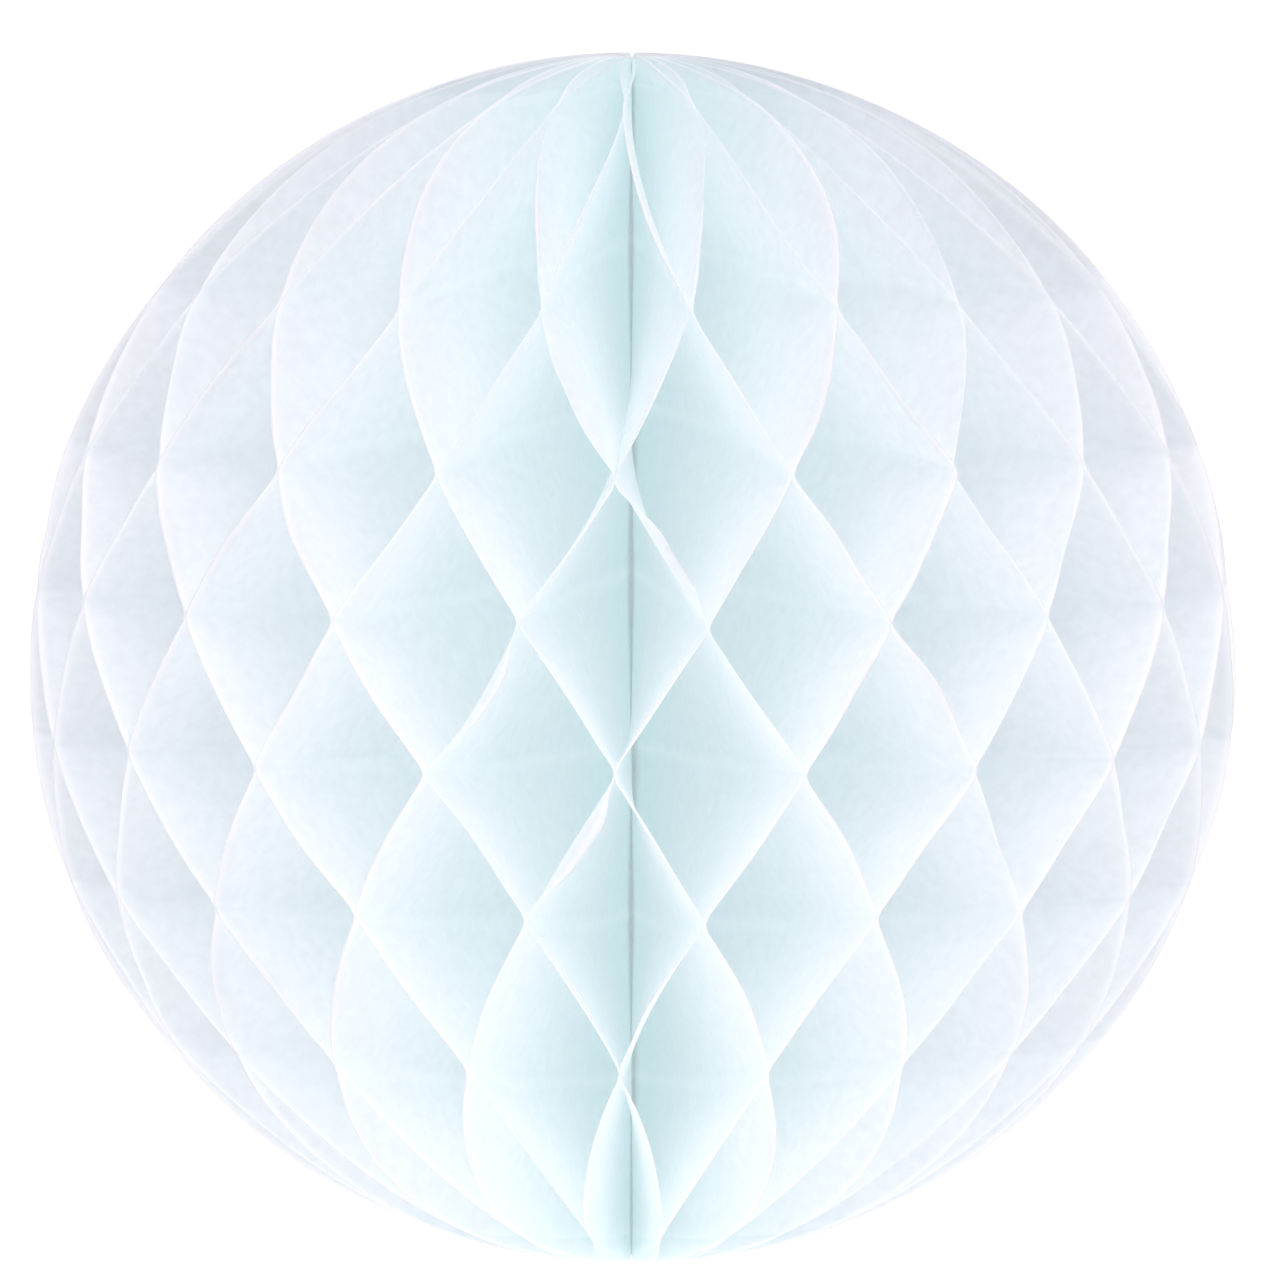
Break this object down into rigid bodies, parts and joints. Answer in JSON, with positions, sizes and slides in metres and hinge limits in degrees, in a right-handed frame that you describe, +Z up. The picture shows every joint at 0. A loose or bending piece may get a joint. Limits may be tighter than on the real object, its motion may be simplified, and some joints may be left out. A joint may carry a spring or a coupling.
{
  "type": "paper honeycomb ball",
  "caption": "Hanging tissue paper honeycomb ball: half-round leaves glued into diamond cells round a bound spine, folding flat like a fan between two end cards.",
  "frame": {"origin": "the hanging point, at the top end of the spine, level with the top of the ball", "axes": "+Z up along the spine, -Y towards the front of the opened ball, +Y towards the seam where the two end cards meet"},
  "size_m": [0.304, 0.304, 0.3048],
  "materials": {
    "tissue": "matte",
    "card": "matte",
    "thread": "matte",
    "tape": "satin"
  },
  "bodies": {
    "spine": {"spine_binding": "thread", "knot_top": "thread", "knot_bottom": "thread", "card_right": "card", "closing_tape_upper": "tape", "closing_tape_middle": "tape", "closing_tape_lower": "tape"},
    "left_card": {"card_left": "card"},
    "leaf_01_turning": {"leaf_01": "tissue"},
    "leaf_02_turning": {"leaf_02": "tissue"},
    "leaf_03_turning": {"leaf_03": "tissue"},
    "leaf_04_turning": {"leaf_04": "tissue"},
    "leaf_05_turning": {"leaf_05": "tissue"},
    "leaf_06_turning": {"leaf_06": "tissue"},
    "leaf_07_turning": {"leaf_07": "tissue"},
    "leaf_08_turning": {"leaf_08": "tissue"},
    "leaf_09_turning": {"leaf_09": "tissue"},
    "leaf_10_turning": {"leaf_10": "tissue"},
    "leaf_11_turning": {"leaf_11": "tissue"},
    "leaf_12_turning": {"leaf_12": "tissue"},
    "leaf_13_turning": {"leaf_13": "tissue"},
    "leaf_14_turning": {"leaf_14": "tissue"},
    "leaf_15_turning": {"leaf_15": "tissue"},
    "leaf_16_turning": {"leaf_16": "tissue"},
    "leaf_17_turning": {"leaf_17": "tissue"},
    "leaf_18_turning": {"leaf_18": "tissue"},
    "leaf_19_turning": {"leaf_19": "tissue"},
    "leaf_20_turning": {"leaf_20": "tissue"},
    "leaf_21_turning": {"leaf_21": "tissue"},
    "leaf_22_turning": {"leaf_22": "tissue"},
    "leaf_23_turning": {"leaf_23": "tissue"},
    "leaf_24_turning": {"leaf_24": "tissue"},
    "leaf_25_turning": {"leaf_25": "tissue"},
    "leaf_26_turning": {"leaf_26": "tissue"},
    "leaf_27_turning": {"leaf_27": "tissue"},
    "leaf_28_turning": {"leaf_28": "tissue"},
    "leaf_29_turning": {"leaf_29": "tissue"},
    "leaf_30_turning": {"leaf_30": "tissue"},
    "leaf_31_turning": {"leaf_31": "tissue"},
    "leaf_32_turning": {"leaf_32": "tissue"},
    "leaf_33_turning": {"leaf_33": "tissue"},
    "leaf_34_turning": {"leaf_34": "tissue"},
    "leaf_35_turning": {"leaf_35": "tissue"},
    "leaf_36_turning": {"leaf_36": "tissue"},
    "leaf_37_turning": {"leaf_37": "tissue"},
    "leaf_38_turning": {"leaf_38": "tissue"},
    "leaf_39_turning": {"leaf_39": "tissue"},
    "leaf_40_turning": {"leaf_40": "tissue"}
  },
  "joints": [
    {"name": "fold", "type": "hinge", "parent": "spine", "child": "left_card", "pos_m": [0, 0, -0.1525], "axis": [0, 0, 1], "range_deg": [0, 345]},
    {"name": "leaf_01_turn", "type": "hinge", "parent": "spine", "child": "leaf_01_turning", "pos_m": [0, 0, -0.1525], "axis": [0, 0, 1], "range_deg": [0, 5.31], "deforming": ["leaf_01"]},
    {"name": "leaf_02_turn", "type": "hinge", "parent": "spine", "child": "leaf_02_turning", "pos_m": [0, 0, -0.1525], "axis": [0, 0, 1], "range_deg": [0, 13.94], "deforming": ["leaf_02"]},
    {"name": "leaf_03_turn", "type": "hinge", "parent": "spine", "child": "leaf_03_turning", "pos_m": [0, 0, -0.1525], "axis": [0, 0, 1], "range_deg": [0, 22.56], "deforming": ["leaf_03"]},
    {"name": "leaf_04_turn", "type": "hinge", "parent": "spine", "child": "leaf_04_turning", "pos_m": [0, 0, -0.1525], "axis": [0, 0, 1], "range_deg": [0, 31.19], "deforming": ["leaf_04"]},
    {"name": "leaf_05_turn", "type": "hinge", "parent": "spine", "child": "leaf_05_turning", "pos_m": [0, 0, -0.1525], "axis": [0, 0, 1], "range_deg": [0, 39.81], "deforming": ["leaf_05"]},
    {"name": "leaf_06_turn", "type": "hinge", "parent": "spine", "child": "leaf_06_turning", "pos_m": [0, 0, -0.1525], "axis": [0, 0, 1], "range_deg": [0, 48.44], "deforming": ["leaf_06"]},
    {"name": "leaf_07_turn", "type": "hinge", "parent": "spine", "child": "leaf_07_turning", "pos_m": [0, 0, -0.1525], "axis": [0, 0, 1], "range_deg": [0, 57.06], "deforming": ["leaf_07"]},
    {"name": "leaf_08_turn", "type": "hinge", "parent": "spine", "child": "leaf_08_turning", "pos_m": [0, 0, -0.1525], "axis": [0, 0, 1], "range_deg": [0, 65.69], "deforming": ["leaf_08"]},
    {"name": "leaf_09_turn", "type": "hinge", "parent": "spine", "child": "leaf_09_turning", "pos_m": [0, 0, -0.1525], "axis": [0, 0, 1], "range_deg": [0, 74.31], "deforming": ["leaf_09"]},
    {"name": "leaf_10_turn", "type": "hinge", "parent": "spine", "child": "leaf_10_turning", "pos_m": [0, 0, -0.1525], "axis": [0, 0, 1], "range_deg": [0, 82.94], "deforming": ["leaf_10"]},
    {"name": "leaf_11_turn", "type": "hinge", "parent": "spine", "child": "leaf_11_turning", "pos_m": [0, 0, -0.1525], "axis": [0, 0, 1], "range_deg": [0, 91.56], "deforming": ["leaf_11"]},
    {"name": "leaf_12_turn", "type": "hinge", "parent": "spine", "child": "leaf_12_turning", "pos_m": [0, 0, -0.1525], "axis": [0, 0, 1], "range_deg": [0, 100.19], "deforming": ["leaf_12"]},
    {"name": "leaf_13_turn", "type": "hinge", "parent": "spine", "child": "leaf_13_turning", "pos_m": [0, 0, -0.1525], "axis": [0, 0, 1], "range_deg": [0, 108.81], "deforming": ["leaf_13"]},
    {"name": "leaf_14_turn", "type": "hinge", "parent": "spine", "child": "leaf_14_turning", "pos_m": [0, 0, -0.1525], "axis": [0, 0, 1], "range_deg": [0, 117.44], "deforming": ["leaf_14"]},
    {"name": "leaf_15_turn", "type": "hinge", "parent": "spine", "child": "leaf_15_turning", "pos_m": [0, 0, -0.1525], "axis": [0, 0, 1], "range_deg": [0, 126.06], "deforming": ["leaf_15"]},
    {"name": "leaf_16_turn", "type": "hinge", "parent": "spine", "child": "leaf_16_turning", "pos_m": [0, 0, -0.1525], "axis": [0, 0, 1], "range_deg": [0, 134.69], "deforming": ["leaf_16"]},
    {"name": "leaf_17_turn", "type": "hinge", "parent": "spine", "child": "leaf_17_turning", "pos_m": [0, 0, -0.1525], "axis": [0, 0, 1], "range_deg": [0, 143.31], "deforming": ["leaf_17"]},
    {"name": "leaf_18_turn", "type": "hinge", "parent": "spine", "child": "leaf_18_turning", "pos_m": [0, 0, -0.1525], "axis": [0, 0, 1], "range_deg": [0, 151.94], "deforming": ["leaf_18"]},
    {"name": "leaf_19_turn", "type": "hinge", "parent": "spine", "child": "leaf_19_turning", "pos_m": [0, 0, -0.1525], "axis": [0, 0, 1], "range_deg": [0, 160.56], "deforming": ["leaf_19"]},
    {"name": "leaf_20_turn", "type": "hinge", "parent": "spine", "child": "leaf_20_turning", "pos_m": [0, 0, -0.1525], "axis": [0, 0, 1], "range_deg": [0, 169.19], "deforming": ["leaf_20"]},
    {"name": "leaf_21_turn", "type": "hinge", "parent": "spine", "child": "leaf_21_turning", "pos_m": [0, 0, -0.1525], "axis": [0, 0, 1], "range_deg": [0, 177.81], "deforming": ["leaf_21"]},
    {"name": "leaf_22_turn", "type": "hinge", "parent": "spine", "child": "leaf_22_turning", "pos_m": [0, 0, -0.1525], "axis": [0, 0, 1], "range_deg": [0, 186.44], "deforming": ["leaf_22"]},
    {"name": "leaf_23_turn", "type": "hinge", "parent": "spine", "child": "leaf_23_turning", "pos_m": [0, 0, -0.1525], "axis": [0, 0, 1], "range_deg": [0, 195.06], "deforming": ["leaf_23"]},
    {"name": "leaf_24_turn", "type": "hinge", "parent": "spine", "child": "leaf_24_turning", "pos_m": [0, 0, -0.1525], "axis": [0, 0, 1], "range_deg": [0, 203.69], "deforming": ["leaf_24"]},
    {"name": "leaf_25_turn", "type": "hinge", "parent": "spine", "child": "leaf_25_turning", "pos_m": [0, 0, -0.1525], "axis": [0, 0, 1], "range_deg": [0, 212.31], "deforming": ["leaf_25"]},
    {"name": "leaf_26_turn", "type": "hinge", "parent": "spine", "child": "leaf_26_turning", "pos_m": [0, 0, -0.1525], "axis": [0, 0, 1], "range_deg": [0, 220.94], "deforming": ["leaf_26"]},
    {"name": "leaf_27_turn", "type": "hinge", "parent": "spine", "child": "leaf_27_turning", "pos_m": [0, 0, -0.1525], "axis": [0, 0, 1], "range_deg": [0, 229.56], "deforming": ["leaf_27"]},
    {"name": "leaf_28_turn", "type": "hinge", "parent": "spine", "child": "leaf_28_turning", "pos_m": [0, 0, -0.1525], "axis": [0, 0, 1], "range_deg": [0, 238.19], "deforming": ["leaf_28"]},
    {"name": "leaf_29_turn", "type": "hinge", "parent": "spine", "child": "leaf_29_turning", "pos_m": [0, 0, -0.1525], "axis": [0, 0, 1], "range_deg": [0, 246.81], "deforming": ["leaf_29"]},
    {"name": "leaf_30_turn", "type": "hinge", "parent": "spine", "child": "leaf_30_turning", "pos_m": [0, 0, -0.1525], "axis": [0, 0, 1], "range_deg": [0, 255.44], "deforming": ["leaf_30"]},
    {"name": "leaf_31_turn", "type": "hinge", "parent": "spine", "child": "leaf_31_turning", "pos_m": [0, 0, -0.1525], "axis": [0, 0, 1], "range_deg": [0, 264.06], "deforming": ["leaf_31"]},
    {"name": "leaf_32_turn", "type": "hinge", "parent": "spine", "child": "leaf_32_turning", "pos_m": [0, 0, -0.1525], "axis": [0, 0, 1], "range_deg": [0, 272.69], "deforming": ["leaf_32"]},
    {"name": "leaf_33_turn", "type": "hinge", "parent": "spine", "child": "leaf_33_turning", "pos_m": [0, 0, -0.1525], "axis": [0, 0, 1], "range_deg": [0, 281.31], "deforming": ["leaf_33"]},
    {"name": "leaf_34_turn", "type": "hinge", "parent": "spine", "child": "leaf_34_turning", "pos_m": [0, 0, -0.1525], "axis": [0, 0, 1], "range_deg": [0, 289.94], "deforming": ["leaf_34"]},
    {"name": "leaf_35_turn", "type": "hinge", "parent": "spine", "child": "leaf_35_turning", "pos_m": [0, 0, -0.1525], "axis": [0, 0, 1], "range_deg": [0, 298.56], "deforming": ["leaf_35"]},
    {"name": "leaf_36_turn", "type": "hinge", "parent": "spine", "child": "leaf_36_turning", "pos_m": [0, 0, -0.1525], "axis": [0, 0, 1], "range_deg": [0, 307.19], "deforming": ["leaf_36"]},
    {"name": "leaf_37_turn", "type": "hinge", "parent": "spine", "child": "leaf_37_turning", "pos_m": [0, 0, -0.1525], "axis": [0, 0, 1], "range_deg": [0, 315.81], "deforming": ["leaf_37"]},
    {"name": "leaf_38_turn", "type": "hinge", "parent": "spine", "child": "leaf_38_turning", "pos_m": [0, 0, -0.1525], "axis": [0, 0, 1], "range_deg": [0, 324.44], "deforming": ["leaf_38"]},
    {"name": "leaf_39_turn", "type": "hinge", "parent": "spine", "child": "leaf_39_turning", "pos_m": [0, 0, -0.1525], "axis": [0, 0, 1], "range_deg": [0, 333.06], "deforming": ["leaf_39"]},
    {"name": "leaf_40_turn", "type": "hinge", "parent": "spine", "child": "leaf_40_turning", "pos_m": [0, 0, -0.1525], "axis": [0, 0, 1], "range_deg": [0, 341.69], "deforming": ["leaf_40"]}
  ],
  "couplings": [
    {"joint": "leaf_01_turn", "follows": "fold", "ratio": 0.0125},
    {"joint": "leaf_02_turn", "follows": "fold", "ratio": 0.0375},
    {"joint": "leaf_03_turn", "follows": "fold", "ratio": 0.0625},
    {"joint": "leaf_04_turn", "follows": "fold", "ratio": 0.0875},
    {"joint": "leaf_05_turn", "follows": "fold", "ratio": 0.1125},
    {"joint": "leaf_06_turn", "follows": "fold", "ratio": 0.1375},
    {"joint": "leaf_07_turn", "follows": "fold", "ratio": 0.1625},
    {"joint": "leaf_08_turn", "follows": "fold", "ratio": 0.1875},
    {"joint": "leaf_09_turn", "follows": "fold", "ratio": 0.2125},
    {"joint": "leaf_10_turn", "follows": "fold", "ratio": 0.2375},
    {"joint": "leaf_11_turn", "follows": "fold", "ratio": 0.2625},
    {"joint": "leaf_12_turn", "follows": "fold", "ratio": 0.2875},
    {"joint": "leaf_13_turn", "follows": "fold", "ratio": 0.3125},
    {"joint": "leaf_14_turn", "follows": "fold", "ratio": 0.3375},
    {"joint": "leaf_15_turn", "follows": "fold", "ratio": 0.3625},
    {"joint": "leaf_16_turn", "follows": "fold", "ratio": 0.3875},
    {"joint": "leaf_17_turn", "follows": "fold", "ratio": 0.4125},
    {"joint": "leaf_18_turn", "follows": "fold", "ratio": 0.4375},
    {"joint": "leaf_19_turn", "follows": "fold", "ratio": 0.4625},
    {"joint": "leaf_20_turn", "follows": "fold", "ratio": 0.4875},
    {"joint": "leaf_21_turn", "follows": "fold", "ratio": 0.5125},
    {"joint": "leaf_22_turn", "follows": "fold", "ratio": 0.5375},
    {"joint": "leaf_23_turn", "follows": "fold", "ratio": 0.5625},
    {"joint": "leaf_24_turn", "follows": "fold", "ratio": 0.5875},
    {"joint": "leaf_25_turn", "follows": "fold", "ratio": 0.6125},
    {"joint": "leaf_26_turn", "follows": "fold", "ratio": 0.6375},
    {"joint": "leaf_27_turn", "follows": "fold", "ratio": 0.6625},
    {"joint": "leaf_28_turn", "follows": "fold", "ratio": 0.6875},
    {"joint": "leaf_29_turn", "follows": "fold", "ratio": 0.7125},
    {"joint": "leaf_30_turn", "follows": "fold", "ratio": 0.7375},
    {"joint": "leaf_31_turn", "follows": "fold", "ratio": 0.7625},
    {"joint": "leaf_32_turn", "follows": "fold", "ratio": 0.7875},
    {"joint": "leaf_33_turn", "follows": "fold", "ratio": 0.8125},
    {"joint": "leaf_34_turn", "follows": "fold", "ratio": 0.8375},
    {"joint": "leaf_35_turn", "follows": "fold", "ratio": 0.8625},
    {"joint": "leaf_36_turn", "follows": "fold", "ratio": 0.8875},
    {"joint": "leaf_37_turn", "follows": "fold", "ratio": 0.9125},
    {"joint": "leaf_38_turn", "follows": "fold", "ratio": 0.9375},
    {"joint": "leaf_39_turn", "follows": "fold", "ratio": 0.9625},
    {"joint": "leaf_40_turn", "follows": "fold", "ratio": 0.9875}
  ]
}
